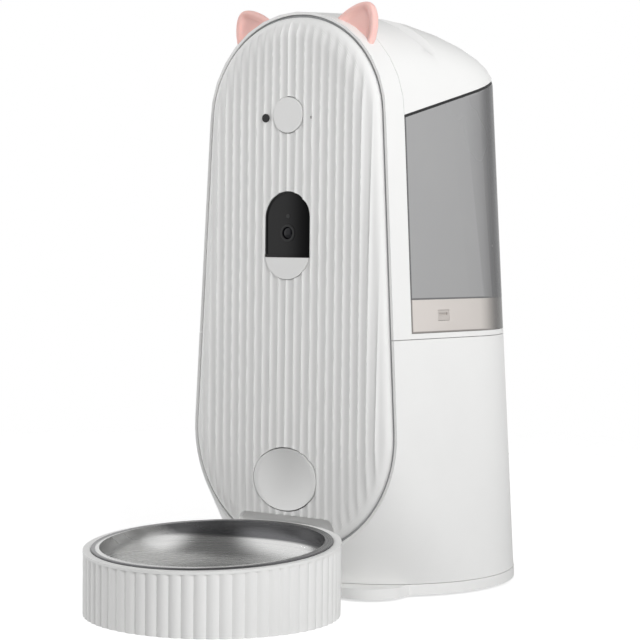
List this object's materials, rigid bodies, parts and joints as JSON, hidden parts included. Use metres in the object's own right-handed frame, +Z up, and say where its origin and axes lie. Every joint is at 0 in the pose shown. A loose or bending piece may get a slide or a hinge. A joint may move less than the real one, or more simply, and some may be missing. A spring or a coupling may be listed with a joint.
{
  "type": "automatic pet feeder",
  "caption": "Free-standing pet feeder: reeded arched front with camera, button and cat ears, smoked tank under a hinged lid, rotor feed, and a reeded bowl holder with a steel bowl.",
  "frame": {"origin": "on the floor, under the middle of the box around the feeder and its bowl", "axes": "+Z up, the reeded front and the bowl face -Y, +X to the right of someone facing the front"},
  "size_m": [0.186, 0.3516, 0.3752],
  "materials": {
    "white_plastic": "satin white moulding",
    "panel_white": "matte white",
    "warm_white": "matte, warm white",
    "grey_plastic": "matte grey",
    "grey_rubber": "matte",
    "black_rubber": "matte",
    "pink_silicone": "soft matte silicone",
    "smoked_tank": "smoked clear",
    "black_plastic": "matte black",
    "black_gloss": "gloss black",
    "lens_glass": "dark coated lens",
    "screw_steel": "bright steel",
    "motor_steel": "plated steel",
    "board_green": "solder mask",
    "bowl_steel": "satin steel"
  },
  "bodies": {
    "feeder": {"base_plate": "white_plastic", "rubber_feet": "grey_rubber", "base_screws": "screw_steel", "lower_housing": "white_plastic", "upper_housing": "white_plastic", "panel_gasket": "grey_plastic", "front_panel": "panel_white", "left_ear": "pink_silicone", "right_ear": "pink_silicone", "hopper_funnel": "warm_white", "button_switch": "black_plastic", "light_sensor": "black_plastic", "microphone": "screw_steel", "camera_body": "black_gloss", "lens_ring": "black_plastic", "camera_lens": "lens_glass", "status_light": "grey_plastic", "camera_pad": "panel_white", "door_pin": "screw_steel", "food_chute": "warm_white", "rotor_case": "warm_white", "gear_motor": "motor_steel", "motor_bracket": "warm_white", "main_board": "board_green", "speaker": "black_plastic", "power_inlet": "black_plastic"},
    "tank": {"hopper_tank": "smoked_tank", "tank_foot": "warm_white", "tank_seal": "black_rubber", "tank_clips": "warm_white", "lid_hinge_pin": "screw_steel"},
    "lid": {"lid": "white_plastic", "desiccant_box": "white_plastic", "desiccant_cap": "warm_white"},
    "button": {"feed_button": "panel_white"},
    "door": {"outlet_door": "panel_white"},
    "rotor": {"feed_rotor": "grey_rubber", "rotor_shaft": "screw_steel"},
    "holder": {"bowl_holder": "panel_white"},
    "bowl": {"steel_bowl": "bowl_steel"}
  },
  "joints": [
    {"name": "tank_lift", "type": "slide", "parent": "feeder", "child": "tank", "axis": [0, 0, 1], "range_m": [0, 0.16]},
    {"name": "lid_hinge", "type": "hinge", "parent": "tank", "child": "lid", "pos_m": [0, 0.16229, 0.301], "axis": [-1, 0, 0], "range_deg": [0, 85]},
    {"name": "button_press", "type": "slide", "parent": "feeder", "child": "button", "axis": [0, 1, 0], "range_m": [0, 0.0012], "stiffness_N_per_m": 800},
    {"name": "door_swing", "type": "hinge", "parent": "feeder", "child": "door", "pos_m": [0, -0.01865, 0.0913], "axis": [1, 0, 0], "range_deg": [0, 65], "stiffness_Nm_per_rad": 0.004, "springref_deg": -17.19},
    {"name": "rotor_spin", "type": "hinge", "parent": "feeder", "child": "rotor", "pos_m": [0, 0.04475, 0.124], "axis": [1, 0, 0], "continuous": true},
    {"name": "holder_pull", "type": "slide", "parent": "feeder", "child": "holder", "axis": [0, -1, 0], "range_m": [0, 0.12]},
    {"name": "bowl_lift", "type": "slide", "parent": "holder", "child": "bowl", "axis": [0, 0, 1], "range_m": [0, 0.06]}
  ]
}
